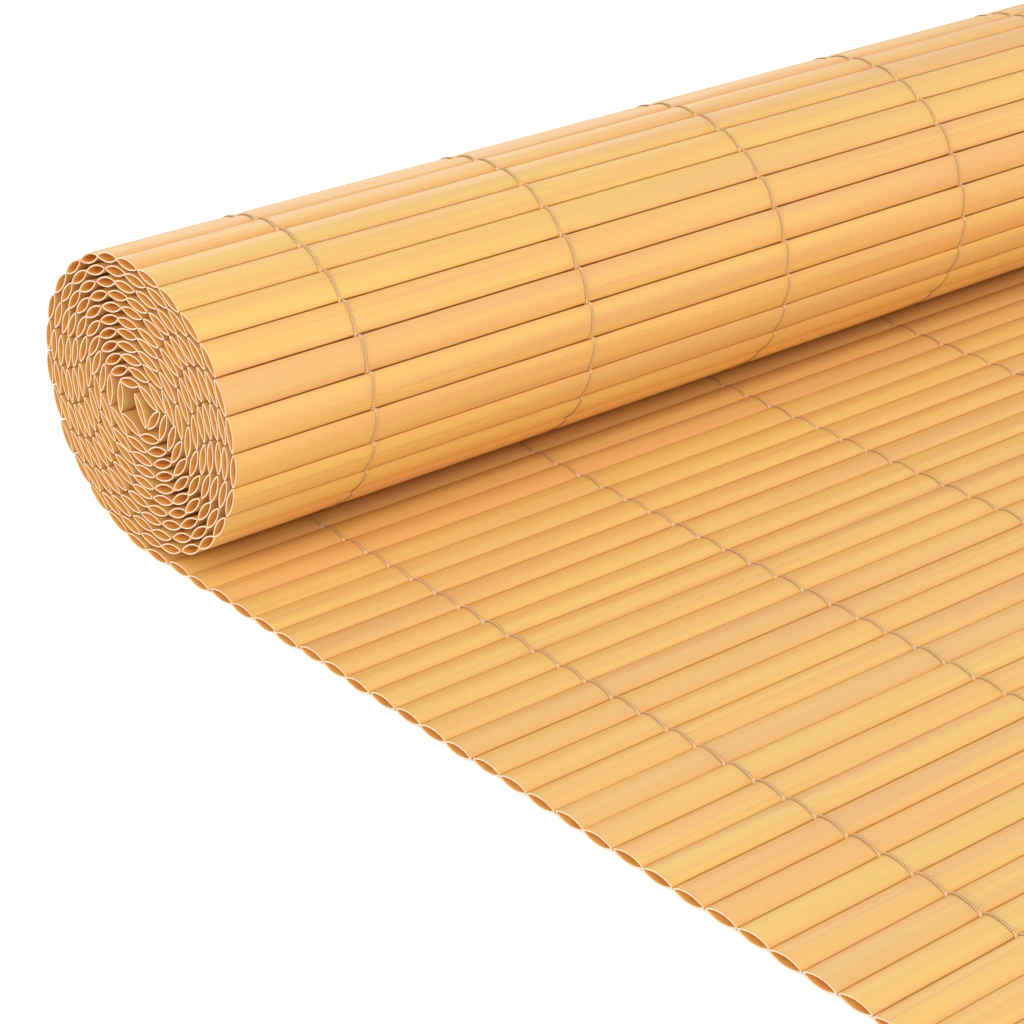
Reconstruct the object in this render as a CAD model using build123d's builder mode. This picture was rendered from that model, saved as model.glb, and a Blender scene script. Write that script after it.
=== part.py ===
"""A roll-up privacy screen: hollow slats laced side by side with thread, partly rolled out on the floor.

X runs along the slats, the roll lies towards +Y, the flat mat runs out towards -Y, and Z = 0 is the floor.
"""

import os
from math import asin, atan2, cos, degrees, dist, pi, radians, sin, sqrt

from build123d import *

# Slat, in millimetres: a hollow strip whose section is two shallow arcs that meet in two edges
SLAT_LENGTH = 900.0
SLAT_WIDTH = 12.05
SLAT_THICKNESS = 3.3
SLAT_WALL = 0.55

# Lacing: two flat strands on each stitch line, which change sides in every gap between slats
THREAD_THICKNESS = 0.3
THREAD_WIDTH = 0.8
THREAD_CLEARANCE = 0.1
STITCH_LINES = 9
STITCH_MARGIN = 58.0

# How much of the screen lies flat, and how the rest is rolled up
FLAT_SLATS = 36
FLAT_GROUP = 6
ROLLED_SLATS = 177
LAYER_PLAY = 0.25
CORE_RADIUS_PER_PITCH = 0.62
CORE_STRETCH_PER_PITCH = 0.45
CORE_FOLD_DEGREES = 110.0

# The search for the next gap along the roll
SEARCH_TURNS = 0.25
SEARCH_STEPS = 40

# The slat's faces are arcs about centres that lie face_offset to either side of its middle plane
face_radius = (SLAT_WIDTH**2 + SLAT_THICKNESS**2) / (4 * SLAT_THICKNESS)
face_offset = face_radius - SLAT_THICKNESS / 2

# A strand runs round one slat's face and straight on round the next slat's other face.
# The pitch is the one at which these two arcs touch each other in the middle of the gap.
thread_reach = THREAD_CLEARANCE + THREAD_THICKNESS
strand_radius = face_radius + thread_reach - THREAD_THICKNESS / 2
strand_height = strand_radius - face_offset
slat_pitch = 2 * sqrt(strand_radius**2 - face_offset**2)
strand_slope = asin(slat_pitch / 2 / strand_radius)

# The roll is a spiral, longer across than it is high, with room for two strands between its layers
layer_pitch = SLAT_THICKNESS + 2 * thread_reach + LAYER_PLAY
core_radius = CORE_RADIUS_PER_PITCH * slat_pitch
core_stretch = CORE_STRETCH_PER_PITCH * slat_pitch
rolled_area = ROLLED_SLATS * slat_pitch * layer_pitch / pi
roll_radius = sqrt((core_radius + core_stretch / 2) ** 2 + rolled_area) - core_stretch / 2
mat_height = thread_reach + SLAT_THICKNESS / 2


def roll_point(turns):
    """The rolled mat's middle line, so many turns in from where it leaves the floor."""
    radius = roll_radius - layer_pitch * turns
    angle = 2 * pi * turns - pi / 2
    return (radius + core_stretch) * cos(angle), mat_height + roll_radius + radius * sin(angle)


def one_slat_on(turns):
    """The turns at which the next gap lies, one slat pitch further in along the roll."""
    near, far = turns, turns + SEARCH_TURNS
    for _ in range(SEARCH_STEPS):
        middle = (near + far) / 2
        if dist(roll_point(turns), roll_point(middle)) < slat_pitch:
            near = middle
        else:
            far = middle
    return far


# Gaps between slats, as (Y, Z) points from the free front edge to the folded-in slat at the core
gap_turns = [0.0]
for _ in range(ROLLED_SLATS):
    gap_turns.append(one_slat_on(gap_turns[-1]))
gaps = [(-slat_pitch * step, mat_height) for step in range(FLAT_SLATS, 0, -1)]
gaps += [roll_point(turns) for turns in gap_turns]
last_heading = atan2(gaps[-1][1] - gaps[-2][1], gaps[-1][0] - gaps[-2][0])
fold_heading = last_heading + radians(CORE_FOLD_DEGREES)
gaps.append((gaps[-1][0] + slat_pitch * cos(fold_heading), gaps[-1][1] + slat_pitch * sin(fold_heading)))

# The origin sits under the middle of the whole screen; the roll's furthest strand marks its back
outer_radius = face_radius + thread_reach
back = max(
    (start[0] + end[0]) / 2 + face_offset * (start[1] - end[1]) / slat_pitch + outer_radius
    for start, end in zip(gaps[FLAT_SLATS:-1], gaps[FLAT_SLATS + 1 :])
    if end[1] - start[1] > slat_pitch * cos(strand_slope)
)
front = -slat_pitch * FLAT_SLATS
gaps = [(y - (front + back) / 2, z) for y, z in gaps]

# Each slat lies between two gaps: its middle and the heading of its width
middles = [((a[0] + b[0]) / 2, (a[1] + b[1]) / 2) for a, b in zip(gaps, gaps[1:])]
headings = [atan2(b[1] - a[1], b[0] - a[0]) for a, b in zip(gaps, gaps[1:])]
slat_places = [
    Location((0, y, z), (degrees(heading), 0, 0)) for (y, z), heading in zip(middles, headings)
]


def beside(point, heading, distance):
    """The point so far to the left of a heading."""
    return point[0] - distance * sin(heading), point[1] + distance * cos(heading)


def side_of(slat, strand):
    """1 where the strand lies on the slat's upper face, -1 where it lies on the lower one."""
    return 1 if (slat + strand) % 2 == 0 else -1


def strand_edge(gap, strand, inset):
    """A strand's edge point in a gap: mitred between two slats, and cut square at the screen's ends."""
    if gap == 0:
        return beside(gaps[0], headings[0], inset)
    if gap == len(headings):
        return beside(gaps[-1], headings[-1], inset)
    turn = headings[gap] - headings[gap - 1]
    turn = atan2(sin(turn), cos(turn))
    heading = headings[gap - 1] + turn / 2 - side_of(gap - 1, strand) * strand_slope
    return beside(gaps[gap], heading, inset / cos(turn / 2))


def strand_crown(slat, strand, inset):
    """A strand's edge point where it crosses the middle of a slat's face."""
    height = side_of(slat, strand) * strand_height + inset
    return beside(middles[slat], headings[slat], height)


def lace(first, last):
    """The two strands of a stitch line round the slats from first to last, centred on X = 0."""
    with BuildPart() as twine:
        for strand in (0, 1):
            left_side = THREAD_CLEARANCE / 2 if strand else -THREAD_CLEARANCE / 2 - THREAD_WIDTH
            with BuildSketch(Plane.YZ.offset(left_side)):
                with BuildLine():
                    for inset in (THREAD_THICKNESS / 2, -THREAD_THICKNESS / 2):
                        for slat in range(first, last + 1):
                            ThreePointArc(
                                strand_edge(slat, strand, inset),
                                strand_crown(slat, strand, inset),
                                strand_edge(slat + 1, strand, inset),
                            )
                    for gap in (first, last + 1):
                        Line(
                            strand_edge(gap, strand, THREAD_THICKNESS / 2),
                            strand_edge(gap, strand, -THREAD_THICKNESS / 2),
                        )
                make_face()
            extrude(amount=THREAD_WIDTH)
    return twine.part


os.makedirs("parts", exist_ok=True)

# One slat: the outer section less the hollow, drawn out along X
with BuildPart() as slat:
    with BuildSketch(Plane.YZ) as section:
        with BuildLine():
            ThreePointArc((-SLAT_WIDTH / 2, 0), (0, SLAT_THICKNESS / 2), (SLAT_WIDTH / 2, 0))
            ThreePointArc((-SLAT_WIDTH / 2, 0), (0, -SLAT_THICKNESS / 2), (SLAT_WIDTH / 2, 0))
        make_face()
        offset(amount=-SLAT_WALL, mode=Mode.SUBTRACT)
    extrude(amount=SLAT_LENGTH / 2, both=True)

# The slats share nodes: a few neighbours on the floor, and one node for each turn of the roll
slat_groups = {}
for number in range(FLAT_SLATS):
    slat_groups.setdefault(f"flat_slats_{number // FLAT_GROUP + 1}", []).append(number)
for step, turns in enumerate(gap_turns):
    slat_groups.setdefault(f"roll_turn_{int(turns) + 1}", []).append(FLAT_SLATS + step)

for name, numbers in slat_groups.items():
    with BuildPart() as group:
        with Locations(*[slat_places[number] for number in numbers]):
            add(slat.part)
    group.part.label = name
    export_step(group.part, f"parts/{name}.step")

# The lacing is the same on every stitch line, in one length for the flat mat and one for the roll
stitch_spacing = (SLAT_LENGTH - 2 * STITCH_MARGIN) / (STITCH_LINES - 1)
flat_twine = lace(0, FLAT_SLATS - 1)
roll_twine = lace(FLAT_SLATS, len(headings) - 1)
for line in range(STITCH_LINES):
    x = STITCH_MARGIN + line * stitch_spacing - SLAT_LENGTH / 2
    for stretch, twine in (("flat", flat_twine), ("roll", roll_twine)):
        stitch = Pos(x, 0, 0) * twine
        stitch.label = f"stitch_{line + 1}_{stretch}"
        export_step(stitch, f"parts/{stitch.label}.step")
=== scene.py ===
# %% [markdown]
# # A roll-up privacy screen
# The real screen is a mat of some two hundred hollow plastic slats, laced side by side with pairs of pale
# threads. One part of it lies flat on the floor and the rest is rolled up. The solids of the frame already
# have the right sizes and places, so this lesson reads where each slat lies and dresses it: finer slats,
# twined threads, printed bamboo colours, and then the floor, the light and the camera.

from math import asin, cos, pi, radians, sin

import bmesh
import bpy
import numpy as np
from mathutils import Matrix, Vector


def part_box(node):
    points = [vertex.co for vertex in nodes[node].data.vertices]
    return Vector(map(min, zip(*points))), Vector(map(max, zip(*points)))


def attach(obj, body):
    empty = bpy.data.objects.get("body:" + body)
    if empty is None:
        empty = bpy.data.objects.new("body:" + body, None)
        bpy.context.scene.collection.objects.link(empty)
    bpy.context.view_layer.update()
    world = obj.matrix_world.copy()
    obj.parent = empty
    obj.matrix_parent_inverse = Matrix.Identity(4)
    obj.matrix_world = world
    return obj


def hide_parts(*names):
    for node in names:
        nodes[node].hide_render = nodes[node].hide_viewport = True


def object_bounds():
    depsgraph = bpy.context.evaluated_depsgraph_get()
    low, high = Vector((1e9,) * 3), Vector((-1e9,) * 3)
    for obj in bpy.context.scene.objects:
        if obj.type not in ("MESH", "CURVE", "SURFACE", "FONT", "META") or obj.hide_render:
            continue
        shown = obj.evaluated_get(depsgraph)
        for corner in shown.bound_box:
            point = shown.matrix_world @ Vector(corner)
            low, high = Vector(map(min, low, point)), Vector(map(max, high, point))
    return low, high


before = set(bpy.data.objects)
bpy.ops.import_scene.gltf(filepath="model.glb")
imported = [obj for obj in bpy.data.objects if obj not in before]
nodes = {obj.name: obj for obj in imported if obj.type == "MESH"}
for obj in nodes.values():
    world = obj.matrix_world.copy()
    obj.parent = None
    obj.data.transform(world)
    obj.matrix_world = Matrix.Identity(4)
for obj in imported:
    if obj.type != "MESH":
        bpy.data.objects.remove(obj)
cad_box = [list(corner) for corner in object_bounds()]
MM = 0.001
print("CAD box in metres:", cad_box)

# %% [markdown]
# ## Where each slat lies
# Every node of the frame holds several slats as separate shells. Typing in two hundred places would be long
# and easy to get wrong, so each shell is found by walking over its edges, and the two sharp edges of its
# section are read off as (Y, Z) points. That way a dressed slat always lies where its solid is.

# %% Find the shells of a node
WELD_DISTANCE = 0.001 * MM


def loose_shells(mesh):
    """The points of each separate shell in a mesh."""
    shell = bmesh.new()
    shell.from_mesh(mesh)
    bmesh.ops.remove_doubles(shell, verts=shell.verts, dist=WELD_DISTANCE)
    waiting = set(shell.verts)
    shells = []
    while waiting:
        reached = [waiting.pop()]
        for vert in reached:
            beside = {edge.other_vert(vert) for edge in vert.link_edges} & waiting
            waiting -= beside
            reached.extend(beside)
        shells.append(np.array([vert.co for vert in reached]))
    shell.free()
    return shells


def slat_edges(points):
    """The two edges of one slat's section, as (Y, Z) points."""
    section = points[:, 1:]
    middle = section.mean(axis=0)
    across = np.linalg.svd(section - middle, full_matrices=False)[2][0]
    reach = (section - middle) @ across
    return section[reach.argmin()], section[reach.argmax()]


found = []
for node_name in sorted(nodes):
    if node_name.startswith(("flat_slats", "roll_turn")):
        for points in loose_shells(nodes[node_name].data):
            found.append((node_name, *slat_edges(points)))
print("slats found:", len(found))

# %% [markdown]
# ## The slats in a chain
# The threads run from slat to slat, so the slats are needed in the order in which they are laced. The free
# edge of the mat is the slat furthest to the front, so the walk starts from a point well in front of it.
# From there, the next slat is always the one whose edge is nearest: a gap is under a millimetre wide, while
# the layers of the roll are four times as far apart.

# %% Follow the mat from its free edge to the core of the roll
FAR_AHEAD = 1.0


def in_lacing_order(slats):
    """The slats from the free edge inwards, each with its first edge towards the slat before."""
    waiting = list(slats)
    end = np.array([min(first[0] for _, first, _ in waiting) - FAR_AHEAD, 0.0])
    ordered = []
    while waiting:
        gaps = [min(np.hypot(*(first - end)), np.hypot(*(last - end))) for _, first, last in waiting]
        name, first, last = waiting.pop(int(np.argmin(gaps)))
        if np.hypot(*(last - end)) < np.hypot(*(first - end)):
            first, last = last, first
        ordered.append((name, first, last))
        end = last
    return ordered


chain = in_lacing_order(found)
slat_middles = np.array([(first + last) / 2 for _, first, last in chain])
slat_headings = np.array([(last - first) / np.hypot(*(last - first)) for _, first, last in chain])
slat_normals = np.stack([-slat_headings[:, 1], slat_headings[:, 0]], axis=1)
flat_count = sum(name.startswith("flat_slats") for name, _, _ in chain)
slat_pitch = np.hypot(*(slat_middles[1] - slat_middles[0]))
print("flat slats:", flat_count, "pitch in mm:", round(slat_pitch / MM, 3))

# %% [markdown]
# ## The section of a slat
# A slat is an extruded hollow strip: two shallow arcs that meet in two thin edges, with a wall about half a
# millimetre thick. The solid has knife edges, and is slim enough to leave room for the threads. The real
# slat is rounder and fuller, and the tight lacing presses its crown flat at each stitch line. So there are
# two outer rings, a full one and a pinched one, each of two arcs with a small round between them. The same
# function makes both and the hollow.

# %% Draw the rings of the section
# half width, half thickness and edge radius
FULL_SECTION = (6.32 * MM, 1.88 * MM, 0.55 * MM)
PINCHED_SECTION = (6.28 * MM, 1.65 * MM, 0.9 * MM)
HOLLOW_SECTION = (5.7 * MM, 1.42 * MM, 0.25 * MM)
FACE_STEPS = 8
EDGE_STEPS = 4


def lens_arcs(half_width, half_thickness, edge_radius):
    """The radius of a face, how far its centre drops, how far out the round sits, and the angle between."""
    reach = half_width - edge_radius
    lift = half_thickness - edge_radius
    centre_drop = (reach**2 - lift**2) / (2 * lift)
    radius = centre_drop + half_thickness
    return radius, centre_drop, reach, asin(reach / (radius - edge_radius))


def lens_ring(half_width, half_thickness, edge_radius):
    """A ring of (across, up) points: two arcs joined by two small rounds, anticlockwise seen from +X."""
    radius, centre_drop, reach, shoulder = lens_arcs(half_width, half_thickness, edge_radius)
    face = [
        (radius * sin(angle), radius * cos(angle) - centre_drop)
        for angle in np.linspace(-shoulder, shoulder, FACE_STEPS + 1)
    ]
    edge = [
        (reach + edge_radius * sin(angle), edge_radius * cos(angle))
        for angle in np.linspace(shoulder, pi - shoulder, EDGE_STEPS + 1)[1:-1]
    ]
    half = face + edge
    return np.array(half + [(-across, -up) for across, up in half])[::-1]


full_ring = lens_ring(*FULL_SECTION)
pinched_ring = lens_ring(*PINCHED_SECTION)
hollow_ring = lens_ring(*HOLLOW_SECTION)
ring_size = len(full_ring)
print("points round a slat:", ring_size)

# %% [markdown]
# ## Small differences between slats
# No two slats are quite alike: each was cut a little shorter or longer, sits nearer to one neighbour, lies
# at its own tilt, bends a little along its length, and was printed in its own shade. These differences are
# drawn once for the whole chain from a seeded generator, so the screen is the same each time the lesson
# runs.

# %% Draw the differences
CHANCE_SEED = 27
# millimetres and degrees: the most that a cut takes off, and then each spread with its limit
CUT_LOSS = 0.8
SHIFT_SPREAD, SHIFT_LIMIT = 0.05, 0.08
TILT_SPREAD, TILT_LIMIT = 0.7, 1.4
BEND_SPREAD, BEND_LIMIT = 0.03, 0.06
BEND_WAVES = 3
PRINT_RANGE = 60.0

slat_count = len(chain)
chance = np.random.default_rng(CHANCE_SEED)
cut_left = chance.uniform(0.0, CUT_LOSS, slat_count) * MM
cut_right = chance.uniform(0.0, CUT_LOSS, slat_count) * MM
shift = chance.normal(0.0, SHIFT_SPREAD, slat_count).clip(-SHIFT_LIMIT, SHIFT_LIMIT) * MM
tilt = np.radians(chance.normal(0.0, TILT_SPREAD, slat_count).clip(-TILT_LIMIT, TILT_LIMIT))
bend = chance.normal(0.0, BEND_SPREAD, (slat_count, BEND_WAVES)).clip(-BEND_LIMIT, BEND_LIMIT) * MM
slat_tone = chance.uniform(0.0, 1.0, slat_count)
slat_seed = chance.uniform(0.0, PRINT_RANGE, slat_count)
print("mean shade:", round(float(slat_tone.mean()), 3))

# %% [markdown]
# ## The faces of a slat
# A slat is a tube: an outer skin, a hollow, and a cut face at each end. Every slat has the same faces, so
# the face table is made once and shifted for each slat. It also says which finish each face has: the
# printed skin, the inside of the hollow or the pale cut. The skin has three rings at each stitch line and
# one at each end.

# %% Make the face table of one slat
RINGS_A_STITCH = 3
HOLLOW_STATIONS = 7
SKIN, HOLLOW, CUT = 0, 1, 2
stitch_count = sum(name.startswith("stitch") and name.endswith("flat") for name in nodes)
skin_stations = RINGS_A_STITCH * stitch_count + 2


def tube_faces(first_point, rings, sides, outward):
    """Four-sided faces between the rings of a tube."""
    faces = []
    for ring in range(rings - 1):
        for side in range(sides):
            here = first_point + ring * sides
            corner = [here + side, here + (side + 1) % sides]
            face = corner + [corner[1] + sides, corner[0] + sides]
            faces.append(face if outward else face[::-1])
    return faces


hollow_start = skin_stations * ring_size
skin_end = hollow_start - ring_size
hollow_end = hollow_start + (HOLLOW_STATIONS - 1) * ring_size
skin_faces = tube_faces(0, skin_stations, ring_size, True)
hollow_faces = tube_faces(hollow_start, HOLLOW_STATIONS, ring_size, False)
cut_faces = []
for side in range(ring_size):
    beside = (side + 1) % ring_size
    cut_faces.append([hollow_start + side, hollow_start + beside, beside, side])
    cut_faces.append([skin_end + side, skin_end + beside, hollow_end + beside, hollow_end + side])
slat_faces = np.array(skin_faces + hollow_faces + cut_faces)
face_finish = np.repeat([SKIN, HOLLOW, CUT], [len(skin_faces), len(hollow_faces), len(cut_faces)])
print("faces in a slat:", len(slat_faces))

# %% [markdown]
# ## Building the slats
# Each node of the frame becomes one piece with the same slats. The points come from the rings, set out at
# stations along X and moved by the slat's own tilt and bend. At a stitch line the skin takes the pinched
# ring, and a little to either side the full one. Three values ride along with the points for the finish:
# the slat's shade, its seed, and how near a point of the skin lies to the slat's thin edge, which sets how
# much painted shade the edge gets.

# %% Set out the points of a slat
PINCH_REACH = 12.0 * MM
slat_left, slat_right = cad_box[0][0], cad_box[1][0]
stitch_boxes = [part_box(f"stitch_{line + 1}_flat") for line in range(stitch_count)]
stitch_places = np.array([(low.x + high.x) / 2 for low, high in stitch_boxes])
inner_places = (stitch_places[:, None] + [-PINCH_REACH, 0.0, PINCH_REACH]).ravel()
pinch = np.concatenate([[0.0], np.tile([0.0, 1.0, 0.0], stitch_count), [0.0]])


def slat_points(number):
    """The points of one slat of the chain, skin first and hollow after it."""
    left = slat_left + cut_left[number]
    right = slat_right - cut_right[number]
    skin_places = np.concatenate([[left], inner_places, [right]])
    rings = [(x, full_ring + share * (pinched_ring - full_ring)) for x, share in zip(skin_places, pinch)]
    rings += [(x, hollow_ring) for x in np.linspace(left, right, HOLLOW_STATIONS)]
    turn = np.array([[cos(tilt[number]), sin(tilt[number])], [-sin(tilt[number]), cos(tilt[number])]])
    points = []
    for x, ring in rings:
        along = (x - slat_left) / (slat_right - slat_left)
        rise = sum(bend[number, wave] * sin((wave + 1) * pi * along) for wave in range(BEND_WAVES))
        across, up = (ring @ turn).T
        section = slat_middles[number] + np.outer(across + shift[number], slat_headings[number])
        section = section + np.outer(up + rise, slat_normals[number])
        points.append(np.column_stack([np.full(ring_size, x), section]))
    return np.vstack(points)


print("points of a slat:", len(slat_points(0)))

# %% Turn points and faces into a piece
SHARP_ANGLE = radians(55)


def make_piece(name, points, faces, node_name):
    """A smooth mesh object that stands for one node of the frame."""
    mesh = bpy.data.meshes.new(name)
    mesh.from_pydata(points.tolist(), [], faces.tolist())
    mesh.polygons.foreach_set("use_smooth", np.ones(len(faces), dtype=bool))
    mesh.set_sharp_from_angle(angle=SHARP_ANGLE)
    piece = bpy.data.objects.new(name, mesh)
    bpy.context.scene.collection.objects.link(piece)
    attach(piece, "root")
    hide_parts(node_name)
    return piece


def store(piece, name, values):
    """Keeps one value a point on a piece, for its material to read."""
    kind = "FLOAT_VECTOR" if values.ndim == 2 else "FLOAT"
    layer = piece.data.attributes.new(name, kind, "POINT")
    layer.data.foreach_set("vector" if values.ndim == 2 else "value", values.ravel())


def face_count(pieces):
    """How many faces some pieces have together."""
    return sum(len(piece.data.polygons) for piece in pieces)


# painted shade: from here out to the thin edge the skin gets a deeper orange for the shade in the gaps and
# the light through the plastic
EDGE_SHADE_START = 5.6 * MM
ring_edge_shade = ((abs(full_ring[:, 0]) - EDGE_SHADE_START) / (FULL_SECTION[0] - EDGE_SHADE_START)).clip(0.0, 1.0)
edge_shade_mask = np.concatenate([np.tile(ring_edge_shade, skin_stations), np.zeros(HOLLOW_STATIONS * ring_size)])
points_a_slat = len(edge_shade_mask)
slat_pieces = []
for node_name in sorted({name for name, _, _ in chain}):
    members = [number for number, link in enumerate(chain) if link[0] == node_name]
    points = np.vstack([slat_points(number) for number in members])
    faces = np.vstack([slat_faces + points_a_slat * place for place in range(len(members))])
    piece = make_piece(f"dressed_{node_name}", points, faces, node_name)
    piece.data.polygons.foreach_set("material_index", np.tile(face_finish, len(members)))
    store(piece, "slat_tone", np.repeat(slat_tone[members], points_a_slat))
    store(piece, "slat_seed", np.repeat(slat_seed[members], points_a_slat))
    store(piece, "edge_shade_mask", np.tile(edge_shade_mask, len(members)))
    slat_pieces.append(piece)
print("slat pieces:", len(slat_pieces), "faces:", face_count(slat_pieces))

# %% [markdown]
# ## The lacing
# Two threads run along each stitch line. In every gap they change sides, so one lies over a slat and the
# other under it, and they twine round each other a little: a stitch starts on one side of the line and ends
# on the other. The threads are held by the slats all the way, so no simulation is needed. A thread's path
# is worked out slat by slat: close along the pinched face, round its edge, and through the middle of the
# gap. A soft, flattened tube is drawn along it. The slats inside the roll get fewer points, because their
# threads are hardly seen.

# %% Work out the path of a thread
TWINE = 0.7 * MM
THREAD_LIFT = 0.24 * MM
# where the points lie across a slat, from one gap at -1 to the next at 1
VISIBLE_SHARES = (-1.0, -0.95, -0.87, -0.75, -0.4, 0.0, 0.4, 0.75, 0.87, 0.95, 1.0)
HIDDEN_SHARES = (-1.0, -0.9, -0.5, 0.5, 0.9, 1.0)
DIP_POWER = 10
outer_turn_end = flat_count + sum(name == "roll_turn_1" for name, _, _ in chain)
thread_section = [size + THREAD_LIFT for size in PINCHED_SECTION]
face_radius, face_drop, round_reach, shoulder = lens_arcs(*thread_section)


def thread_height(share):
    """How far a thread lies from a slat's middle plane, from one gap at -1 to the next at 1."""
    if abs(share) == 1.0:
        return 0.0
    across = abs(share) * slat_pitch / 2
    if across > face_radius * sin(shoulder):
        return (thread_section[2] ** 2 - (across - round_reach) ** 2) ** 0.5
    return (face_radius**2 - across**2) ** 0.5 - face_drop


def thread_path(line_x, strand, first, last):
    """Points along one strand in lacing order, and for each how near it is to a gap, up to 1."""
    path, dips = [], []
    for number in range(first, last + 1):
        side = 1 if (number + strand) % 2 == 0 else -1
        shares = VISIBLE_SHARES if number <= outer_turn_end else HIDDEN_SHARES
        for share in shares[: None if number == last else -1]:
            across = share * slat_pitch / 2 * slat_headings[number]
            up = side * thread_height(share) * slat_normals[number]
            y, z = slat_middles[number] + across + up
            path.append((line_x + side * TWINE * sin(share * pi / 2), y, z))
            dips.append(abs(share) ** DIP_POWER)
    return np.array(path), np.array(dips)


print("points along a flat thread:", len(thread_path(0.0, 0, 0, flat_count - 1)[0]))

# %% Draw a flattened tube along a path
THREAD_HALF_WIDTH = 0.6 * MM
THREAD_HALF_THICKNESS = 0.22 * MM
THREAD_SIDES = 8
# three four-sided faces that close an end of the tube
THREAD_CAP = [[0, 1, 2, 3], [0, 3, 4, 7], [4, 5, 6, 7]]


def thread_tube(path, dips):
    """The tube's points and faces, and each point's place along and across it and nearness to a gap."""
    forward = np.gradient(path, axis=0)
    forward /= np.linalg.norm(forward, axis=1, keepdims=True)
    outward = np.column_stack([np.zeros(len(path)), -forward[:, 2], forward[:, 1]])
    outward /= np.linalg.norm(outward, axis=1, keepdims=True)
    sideways = np.cross(outward, forward)
    length = np.concatenate([[0.0], np.cumsum(np.linalg.norm(np.diff(path, axis=0), axis=1))])
    points, lay = [], []
    for side in range(THREAD_SIDES):
        angle = 2 * pi * side / THREAD_SIDES
        points.append(
            path + THREAD_HALF_WIDTH * cos(angle) * sideways + THREAD_HALF_THICKNESS * sin(angle) * outward
        )
        lay.append(np.column_stack([length / MM, np.full(len(path), cos(angle)), dips]))
    points = np.stack(points, axis=1).reshape(-1, 3)
    lay = np.stack(lay, axis=1).reshape(-1, 3)
    last = len(points) - THREAD_SIDES
    start_cap = [face[::-1] for face in THREAD_CAP]
    end_cap = [[last + corner for corner in face] for face in THREAD_CAP]
    return points, tube_faces(0, len(path), THREAD_SIDES, True) + start_cap + end_cap, lay


print("sides round a thread:", THREAD_SIDES)


# %% Lace every stitch line
def lace(node_name, first, last):
    """The two strands of one stitch line round the slats from first to last, as one piece."""
    low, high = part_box(node_name)
    line_x = (low.x + high.x) / 2
    points, faces, lay = [], [], []
    for strand in (0, 1):
        tube, tube_quads, tube_lay = thread_tube(*thread_path(line_x, strand, first, last))
        first_point = sum(len(part) for part in points)
        points.append(tube)
        faces.append(np.array(tube_quads) + first_point)
        lay.append(tube_lay)
    piece = make_piece(f"twined_{node_name}", np.vstack(points), np.vstack(faces), node_name)
    store(piece, "thread_lay", np.vstack(lay))
    return piece


thread_pieces = []
for node_name in sorted(nodes):
    if node_name.startswith("stitch") and node_name.endswith("flat"):
        thread_pieces.append(lace(node_name, 0, flat_count - 1))
    elif node_name.startswith("stitch"):
        thread_pieces.append(lace(node_name, flat_count, slat_count - 1))
print("thread pieces:", len(thread_pieces), "faces:", face_count(thread_pieces))

# %% [markdown]
# ## Streaks that several finishes share
# The slats are printed to look like split bamboo: soft streaks along the length, and a fine grain in them.
# The skin and the hollow both show it, each with its own colours. Copying the nodes would make two things
# to keep in step, so the streaks are a node group. Noise is stretched by giving it a far higher scale
# across the slats than along them, and the slat's seed moves it to a new place for each slat.


# %% Write helpers for nodes
def add(tree, kind, at, **settings):
    """A node of one kind, with its settings."""
    node = tree.nodes.new(kind)
    node.location = at
    for name, value in settings.items():
        setattr(node, name, value)
    return node


def math_node(tree, operation, at, *values):
    """The result of a Math node whose inputs are sockets or numbers."""
    node = add(tree, "ShaderNodeMath", at, operation=operation)
    for socket, value in zip(node.inputs, values):
        if isinstance(value, bpy.types.NodeSocket):
            tree.links.new(value, socket)
        else:
            socket.default_value = value
    return node.outputs[0]


print("node helpers:", add.__name__, math_node.__name__)

# %% Build the node group
# name, along the slat in cycles a metre, share of Across, detail, and the noise values that become 0 and 1
BANDS = (
    ("Streak", 6.0, 1.0, 3.0, 0.32, 0.68),
    ("Line", 5.0, 1.9, 2.0, 0.5, 0.72),
    ("Grain", 22.0, 6.0, 2.0, 0.3, 0.7),
    ("Cloud", 5.0, 0.25, 1.0, 0.42, 0.72),
)
NODE_ROW = 300

streaks = bpy.data.node_groups.new("bamboo_streaks", "ShaderNodeTree")
for name in ("Seed", "Across"):
    streaks.interface.new_socket(name, in_out="INPUT", socket_type="NodeSocketFloat")
for name, *_ in BANDS:
    streaks.interface.new_socket(name, in_out="OUTPUT", socket_type="NodeSocketFloat")
group_in = add(streaks, "NodeGroupInput", (-800, 0))
group_out = add(streaks, "NodeGroupOutput", (500, 0))
where = add(streaks, "ShaderNodeTexCoord", (-800, 250))

for row, (name, along, share, detail, low, high) in enumerate(BANDS):
    height = NODE_ROW * (1 - row)
    across = math_node(streaks, "MULTIPLY", (-600, height), group_in.outputs["Across"], share)
    scale = add(streaks, "ShaderNodeCombineXYZ", (-400, height))
    scale.inputs["X"].default_value = along
    streaks.links.new(across, scale.inputs["Y"])
    streaks.links.new(across, scale.inputs["Z"])
    stretched = add(streaks, "ShaderNodeVectorMath", (-200, height), operation="MULTIPLY")
    streaks.links.new(where.outputs["Object"], stretched.inputs[0])
    streaks.links.new(scale.outputs[0], stretched.inputs[1])
    noise = add(streaks, "ShaderNodeTexNoise", (0, height), noise_dimensions="4D")
    noise.inputs["Scale"].default_value = 1.0
    noise.inputs["Detail"].default_value = detail
    streaks.links.new(stretched.outputs[0], noise.inputs["Vector"])
    streaks.links.new(group_in.outputs["Seed"], noise.inputs["W"])
    spread = add(streaks, "ShaderNodeMapRange", (250, height), interpolation_type="SMOOTHSTEP")
    spread.inputs["From Min"].default_value = low
    spread.inputs["From Max"].default_value = high
    streaks.links.new(noise.outputs[0], spread.inputs["Value"])
    streaks.links.new(spread.outputs[0], group_out.inputs[name])
print("streak group sockets:", [item.name for item in streaks.interface.items_tree])
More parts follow.
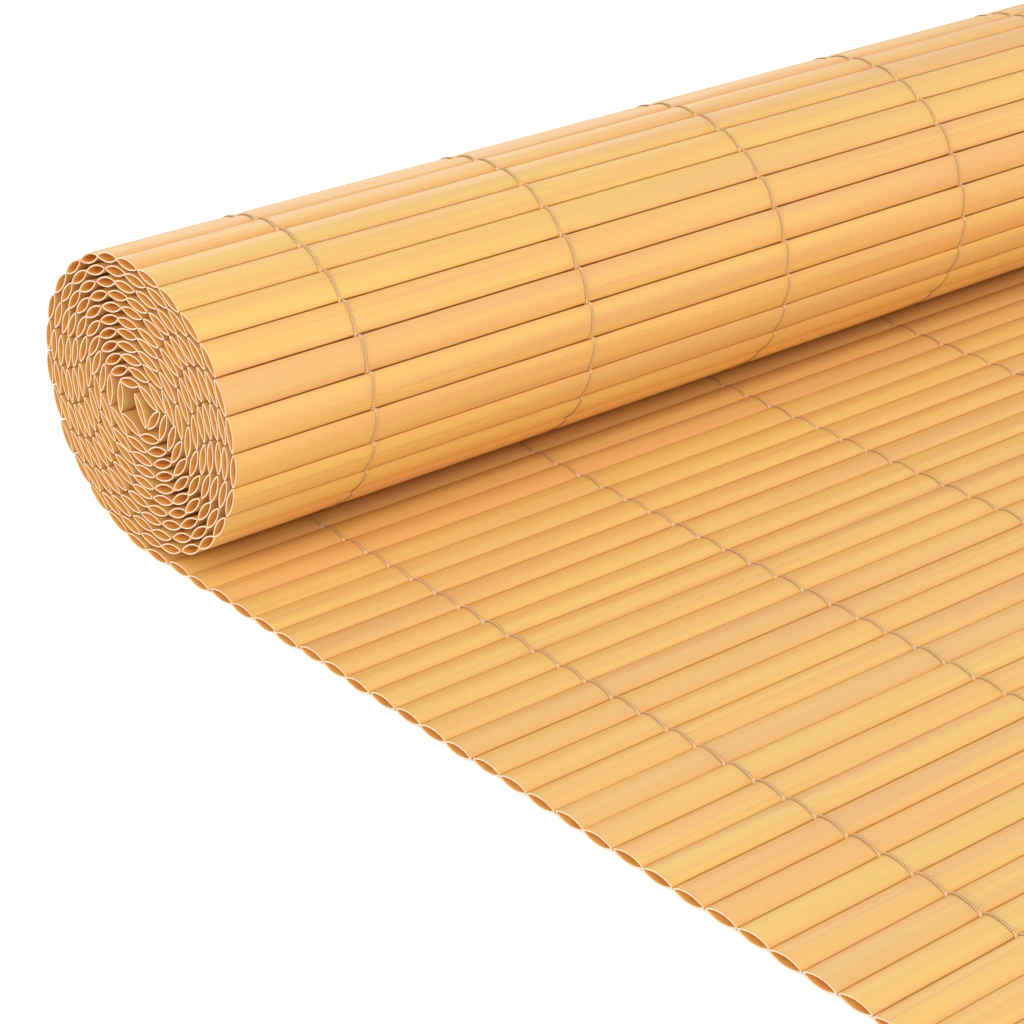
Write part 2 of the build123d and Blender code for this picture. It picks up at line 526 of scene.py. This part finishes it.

# %% [markdown]
# ## The printed skin
# The skin is satin plastic in shades from straw yellow to salmon. A slat's own shade picks its place
# between the two, the streaks move it a little to either side, and soft clouds lay a mauve cast over a few
# places. Towards the thin edges a deeper orange is painted in for the shade between the slats and the light
# that comes through the thin plastic there. The grain darkens thin lines, roughens the gloss, and gives a
# shallow relief, which is far too fine to model.


# %% Write helpers for the finishes
def new_material(name):
    """A material with an empty tree, its shader and its output."""
    material = bpy.data.materials.new(name)
    material.use_nodes = True
    tree = material.node_tree
    tree.nodes.clear()
    shader = add(tree, "ShaderNodeBsdfPrincipled", (400, 0))
    output = add(tree, "ShaderNodeOutputMaterial", (700, 0))
    tree.links.new(shader.outputs[0], output.inputs["Surface"])
    return material, tree, shader


def mix_colours(tree, at, factor, first, second):
    """A colour mix whose ends are colours or sockets."""
    node = add(tree, "ShaderNodeMix", at, data_type="RGBA")
    tree.links.new(factor, node.inputs["Factor"])
    for socket, value in ((node.inputs[6], first), (node.inputs[7], second)):
        if isinstance(value, bpy.types.NodeSocket):
            tree.links.new(value, socket)
        else:
            socket.default_value = (*value, 1.0)
    return node.outputs[2]


def slat_streaks(tree, across):
    """The streak group, moved to a new place for each slat."""
    seed = add(tree, "ShaderNodeAttribute", (-1100, 200), attribute_name="slat_seed")
    group = add(tree, "ShaderNodeGroup", (-900, 200), node_tree=streaks)
    group.inputs["Across"].default_value = across
    tree.links.new(seed.outputs["Fac"], group.inputs["Seed"])
    return group


def relief(tree, shader, height, depth, strength):
    """A fine relief on a shader."""
    bump = add(tree, "ShaderNodeBump", (150, -300))
    bump.inputs["Strength"].default_value = strength
    bump.inputs["Distance"].default_value = depth
    tree.links.new(height, bump.inputs["Height"])
    tree.links.new(bump.outputs[0], shader.inputs["Normal"])


print("finish helpers:", new_material.__name__, mix_colours.__name__, slat_streaks.__name__, relief.__name__)

# %% Make the finish of the skin
STRAW = (0.87, 0.565, 0.15)
SALMON = (0.87, 0.46, 0.155)
ROSE_LINE = (0.76, 0.37, 0.15)
MAUVE = (0.74, 0.42, 0.2)
# painted shade: the deeper orange laid on the thin edges of the skin
PAINTED_EDGE_ORANGE = (0.86, 0.36, 0.06)
SKIN_ACROSS = 260.0
TONE_SHARE, STREAK_SHARE, TONE_START = 0.5, 0.75, -0.25
LINE_SHARE, GRAIN_SHARE = 0.35, 0.08
CLOUD_SHARE, EDGE_SHADE_SHARE = 0.45, 0.45
GRAIN_ROUGHNESS, SKIN_ROUGHNESS = 0.12, 0.4
GRAIN_DEPTH = 0.05 * MM
SKIN_RELIEF = 0.25

skin_finish, tree, shader = new_material("printed_skin")
group = slat_streaks(tree, SKIN_ACROSS)
tone = add(tree, "ShaderNodeAttribute", (-1100, -100), attribute_name="slat_tone")
shade = math_node(tree, "MULTIPLY_ADD", (-700, 0), tone.outputs["Fac"], TONE_SHARE, TONE_START)
shade = math_node(tree, "MULTIPLY_ADD", (-550, 0), group.outputs["Streak"], STREAK_SHARE, shade)
shade.node.use_clamp = True
ground = mix_colours(tree, (-300, 100), shade, STRAW, SALMON)
cast = math_node(tree, "MULTIPLY", (-400, 300), group.outputs["Cloud"], CLOUD_SHARE)
ground = mix_colours(tree, (-200, 200), cast, ground, MAUVE)
# painted shade: a deeper orange towards the thin edges, for the shade in the gaps and the light through the
# plastic
edge = add(tree, "ShaderNodeAttribute", (-600, 450), attribute_name="edge_shade_mask")
glow = math_node(tree, "MULTIPLY", (-300, 450), edge.outputs["Fac"], EDGE_SHADE_SHARE)
ground = mix_colours(tree, (-50, 300), glow, ground, PAINTED_EDGE_ORANGE)
line = math_node(tree, "MULTIPLY", (-400, -200), group.outputs["Line"], LINE_SHARE)
line = math_node(tree, "MULTIPLY_ADD", (-250, -200), group.outputs["Grain"], GRAIN_SHARE, line)
print_colour = mix_colours(tree, (150, 100), line, ground, ROSE_LINE)
tree.links.new(print_colour, shader.inputs["Base Color"])
gloss = math_node(tree, "MULTIPLY_ADD", (50, -100), group.outputs["Grain"], GRAIN_ROUGHNESS, SKIN_ROUGHNESS)
tree.links.new(gloss, shader.inputs["Roughness"])
relief(tree, shader, group.outputs["Grain"], GRAIN_DEPTH, SKIN_RELIEF)
print("skin nodes:", len(tree.nodes))

# %% [markdown]
# ## The hollow and the cut
# The hollow's own orange is painted brighter and deeper, standing for the light that gets through the thin
# walls, and the sawn ends are pale, with a little fray. The hollow takes the same streaks as the skin. The
# cut is only half a millimetre wide, so it gets a small mottle in place of streaks.

# %% Make the finish of the hollow
# painted light: the plastic's own orange, painted brighter for the light that comes through the thin walls
PAINTED_GLOW_AMBER = (1.0, 0.61, 0.17)
PAINTED_GLOW_DEEP_AMBER = (0.96, 0.5, 0.12)
HOLLOW_ACROSS = 200.0
HOLLOW_ROUGHNESS = 0.5
HOLLOW_RELIEF = 0.2

hollow_finish, tree, shader = new_material("hollow_painted_glow")
group = slat_streaks(tree, HOLLOW_ACROSS)
painted_glow = mix_colours(tree, (0, 100), group.outputs["Streak"], PAINTED_GLOW_AMBER, PAINTED_GLOW_DEEP_AMBER)
tree.links.new(painted_glow, shader.inputs["Base Color"])
shader.inputs["Roughness"].default_value = HOLLOW_ROUGHNESS
relief(tree, shader, group.outputs["Grain"], GRAIN_DEPTH, HOLLOW_RELIEF)
print("hollow nodes:", len(tree.nodes))

# %% Make the finish of the cut
PALE_CUT = (0.94, 0.7, 0.5)
FRAYED_CUT = (0.88, 0.55, 0.32)
MOTTLE_SCALE, MOTTLE_DETAIL = 700.0, 3.0
FRAY_POWER = 2.5
CUT_ROUGHNESS = 0.65
CUT_DEPTH = 0.08 * MM
CUT_RELIEF = 0.3

cut_finish, tree, shader = new_material("sawn_cut")
place = add(tree, "ShaderNodeTexCoord", (-700, 0))
mottle = add(tree, "ShaderNodeTexNoise", (-500, 0))
mottle.inputs["Scale"].default_value = MOTTLE_SCALE
mottle.inputs["Detail"].default_value = MOTTLE_DETAIL
tree.links.new(place.outputs["Object"], mottle.inputs["Vector"])
fray = math_node(tree, "POWER", (-300, 0), mottle.outputs[0], FRAY_POWER)
sawn = mix_colours(tree, (0, 100), fray, PALE_CUT, FRAYED_CUT)
tree.links.new(sawn, shader.inputs["Base Color"])
shader.inputs["Roughness"].default_value = CUT_ROUGHNESS
relief(tree, shader, mottle.outputs[0], CUT_DEPTH, CUT_RELIEF)

for piece in slat_pieces:
    for finish in (skin_finish, hollow_finish, cut_finish):
        piece.data.materials.append(finish)
print("slat finishes:", [finish.name for finish in slat_pieces[0].data.materials])

# %% [markdown]
# ## The yarn
# The thread is a pale golden yarn of a few plies twisted together. At a millimetre wide, its plies are too
# fine to model, so they are stripes across the thread, worked out from how far along and across the thread
# a point lies. A brown painted shade darkens the grooves between the plies and the sides of the thread, and
# the grooves are sunk a little. Where the thread dips into a gap the painted shade gives way to cream, and
# it shows as a small cream dot.

# %% Make the finish of the thread
CREAM = (0.94, 0.68, 0.4)
GOLDEN_PLY = (0.94, 0.65, 0.31)
# painted shade: the brown laid in the ply grooves and along the sides of the thread
PLY_GROOVE_SHADE = (0.39, 0.17, 0.05)
PLIES_PER_MM = 1.1
PLY_SLANT = 0.35
HALF_PLY = 0.5
GROOVE_SHADE_SHARE = 0.95
SIDE_SHADE_POWER = 3.0
YARN_ROUGHNESS = 0.75
PLY_DEPTH = 0.25 * MM
PLY_RELIEF = 0.8

yarn_finish, tree, shader = new_material("plied_yarn")
lay = add(tree, "ShaderNodeAttribute", (-1100, 0), attribute_name="thread_lay")
parts = add(tree, "ShaderNodeSeparateXYZ", (-900, 0))
tree.links.new(lay.outputs["Vector"], parts.inputs[0])
slant = math_node(tree, "MULTIPLY", (-700, -200), parts.outputs["Y"], PLY_SLANT)
turns = math_node(tree, "MULTIPLY_ADD", (-700, 0), parts.outputs["X"], PLIES_PER_MM, slant)
wave = math_node(tree, "PINGPONG", (-500, 0), turns, HALF_PLY)
crest = math_node(tree, "DIVIDE", (-400, -150), wave, HALF_PLY)
# painted shade: darker in the grooves between the plies
groove_shade = math_node(tree, "SUBTRACT", (-350, 0), 1.0, crest)
groove_shade = math_node(tree, "MULTIPLY", (-200, 0), groove_shade, GROOVE_SHADE_SHARE)
# painted shade: darker towards the sides of the thread
side = math_node(tree, "ABSOLUTE", (-500, -350), parts.outputs["Y"])
side = math_node(tree, "POWER", (-350, -350), side, SIDE_SHADE_POWER)
yarn_shade = math_node(tree, "MAXIMUM", (-150, 0), groove_shade, side)
plies = mix_colours(tree, (0, 100), yarn_shade, GOLDEN_PLY, PLY_GROOVE_SHADE)
yarn = mix_colours(tree, (200, 100), parts.outputs["Z"], plies, CREAM)
tree.links.new(yarn, shader.inputs["Base Color"])
shader.inputs["Roughness"].default_value = YARN_ROUGHNESS
relief(tree, shader, wave, PLY_DEPTH, PLY_RELIEF)
for piece in thread_pieces:
    piece.data.materials.append(yarn_finish)
print("yarn on", len(thread_pieces), "pieces")

# %% [markdown]
# ## The floor and the light
# The screen stands on plain white. More light on the object would wash its colours out, so the floor is
# only a pale diffuse plane that adds some glow of its own for the eye of the camera, and the world is white
# where it is seen and softer where it lights. Under the mat the glow is faint and amber, like the light
# that comes through the thin plastic, so that the gaps between the slats stay brown. One large soft lamp
# high in front gives the roll its gentle shading, a smaller one from the front fills its shaded side, one
# at each end lights the cuts, and a weak one behind keeps the back from going dull.


# %% Tell what is seen from what only carries light
def seen_ray(tree, at):
    """1 for rays from the eye or from a mirror-like or clear surface, 0 for rays that only carry light."""
    path = add(tree, "ShaderNodeLightPath", at)
    eye, mirror, clear = (path.outputs[f"Is {kind} Ray"] for kind in ("Camera", "Glossy", "Transmission"))
    eye_or_mirror = math_node(tree, "MAXIMUM", (at[0] + 200, at[1]), eye, mirror)
    return math_node(tree, "MAXIMUM", (at[0] + 400, at[1]), eye_or_mirror, clear)


print("light helper:", seen_ray.__name__)

# %% Lay the floor
FLOOR_HALF = 4.0
FLOOR_WHITE = (0.92, 0.92, 0.92, 1.0)
FLOOR_ROUGHNESS = 0.9
WHITE_GLOW, FLOOR_GLOW = (1.0, 1.0, 1.0, 1.0), 0.5
AMBER_GLOW, COVERED_GLOW = (0.75, 0.4, 0.13, 1.0), 0.3
COVER_INSET = 0.002


def rectangle(low, high):
    """The corners of a rectangle on the floor."""
    return [(low[0], low[1], 0), (high[0], low[1], 0), (high[0], high[1], 0), (low[0], high[1], 0)]


roll_foot = slat_middles[flat_count][0]
covered_low = (slat_left + COVER_INSET, cad_box[0][1] + COVER_INSET)
covered_high = (slat_right - COVER_INSET, roll_foot)
corners = rectangle((-FLOOR_HALF, -FLOOR_HALF), (FLOOR_HALF, FLOOR_HALF))
corners += rectangle(covered_low, covered_high)
open_faces = [(side, (side + 1) % 4, (side + 1) % 4 + 4, side + 4) for side in range(4)]
covered_face = (4, 5, 6, 7)
floor_mesh = bpy.data.meshes.new("floor")
floor_mesh.from_pydata(corners, [], open_faces + [covered_face])
floor_mesh.polygons[len(open_faces)].material_index = 1
floor = bpy.data.objects.new("floor", floor_mesh)
bpy.context.scene.collection.objects.link(floor)
for name, glow_colour, glow_strength in (
    ("white_floor", WHITE_GLOW, FLOOR_GLOW),
    ("covered_floor", AMBER_GLOW, COVERED_GLOW),
):
    floor_finish, tree, shader = new_material(name)
    shader.inputs["Base Color"].default_value = FLOOR_WHITE
    shader.inputs["Roughness"].default_value = FLOOR_ROUGHNESS
    shader.inputs["Emission Color"].default_value = glow_colour
    glow = math_node(tree, "MULTIPLY", (200, -400), seen_ray(tree, (-500, -400)), glow_strength)
    tree.links.new(glow, shader.inputs["Emission Strength"])
    floor_mesh.materials.append(floor_finish)
print("floor side in metres:", 2 * FLOOR_HALF)

# %% Light the scene from all round
SKY_WHITE = (1.0, 1.0, 1.0, 1.0)
SKY_LIGHT = 0.45

world = bpy.data.worlds.new("studio")
bpy.context.scene.world = world
world.use_nodes = True
tree = world.node_tree
tree.nodes.clear()
sky = add(tree, "ShaderNodeBackground", (300, 0))
sky.inputs["Color"].default_value = SKY_WHITE
strength = math_node(tree, "MAXIMUM", (100, 0), seen_ray(tree, (-500, 0)), SKY_LIGHT)
tree.links.new(strength, sky.inputs["Strength"])
tree.links.new(sky.outputs[0], add(tree, "ShaderNodeOutputWorld", (500, 0)).inputs["Surface"])
print("sky light:", SKY_LIGHT)

# %% Set up the lamps
# name, place, where it points, side in metres, watts
LAMPS = (
    ("softbox", (-1.2, -2.8, 3.6), (0.0, 0.0, 0.0), 3.4, 101.0),
    ("front_fill", (0.2, -2.4, 0.5), (0.1, 0.1, 0.05), 1.6, 8.5),
    ("end_fill", (-2.6, 0.0, 0.7), (-0.45, 0.2, 0.05), 1.4, 27.0),
    ("far_end_fill", (2.6, 0.1, 0.5), (0.45, 0.2, 0.05), 1.0, 17.0),
    ("back_fill", (1.2, 2.6, 1.3), (0.0, 0.2, 0.05), 1.6, 14.0),
)
for name, place, target, side, watts in LAMPS:
    lamp_data = bpy.data.lights.new(name, "AREA")
    lamp_data.energy = watts
    lamp_data.size = side
    lamp = bpy.data.objects.new(name, lamp_data)
    lamp.location = place
    lamp.rotation_euler = (Vector(target) - Vector(place)).to_track_quat("-Z", "Y").to_euler()
    bpy.context.scene.collection.objects.link(lamp)
print("lamps:", [name for name, *_ in LAMPS])

# %% [markdown]
# ## The camera
# The picture looks down on the mat from the front left with a long lens, so the slats run nearly parallel
# across it. A long lens flattens depth, and a short one would make the near slats far wider than the roll.
# The place, the two angles and the lens were fitted to the edges of the mat, the stitch lines and the
# outline of the roll.

# %% Set up the camera
CAMERA_PLACE = (-0.90628, -0.5526, 0.4488)
CAMERA_AZIMUTH = -39.45
CAMERA_ELEVATION = 26.3
CAMERA_LENS = 98.31
SENSOR_WIDTH = 36.0
CLIP_START = 0.05

camera_data = bpy.data.cameras.new("camera")
camera_data.lens = CAMERA_LENS
camera_data.sensor_width = SENSOR_WIDTH
camera_data.clip_start = CLIP_START
camera = bpy.data.objects.new("camera", camera_data)
camera.location = CAMERA_PLACE
camera.rotation_euler = (radians(90.0 - CAMERA_ELEVATION), 0.0, radians(CAMERA_AZIMUTH))
bpy.context.scene.collection.objects.link(camera)
bpy.context.scene.camera = camera
bpy.context.scene.view_settings.view_transform = "Standard"
print("camera lens in mm:", CAMERA_LENS)
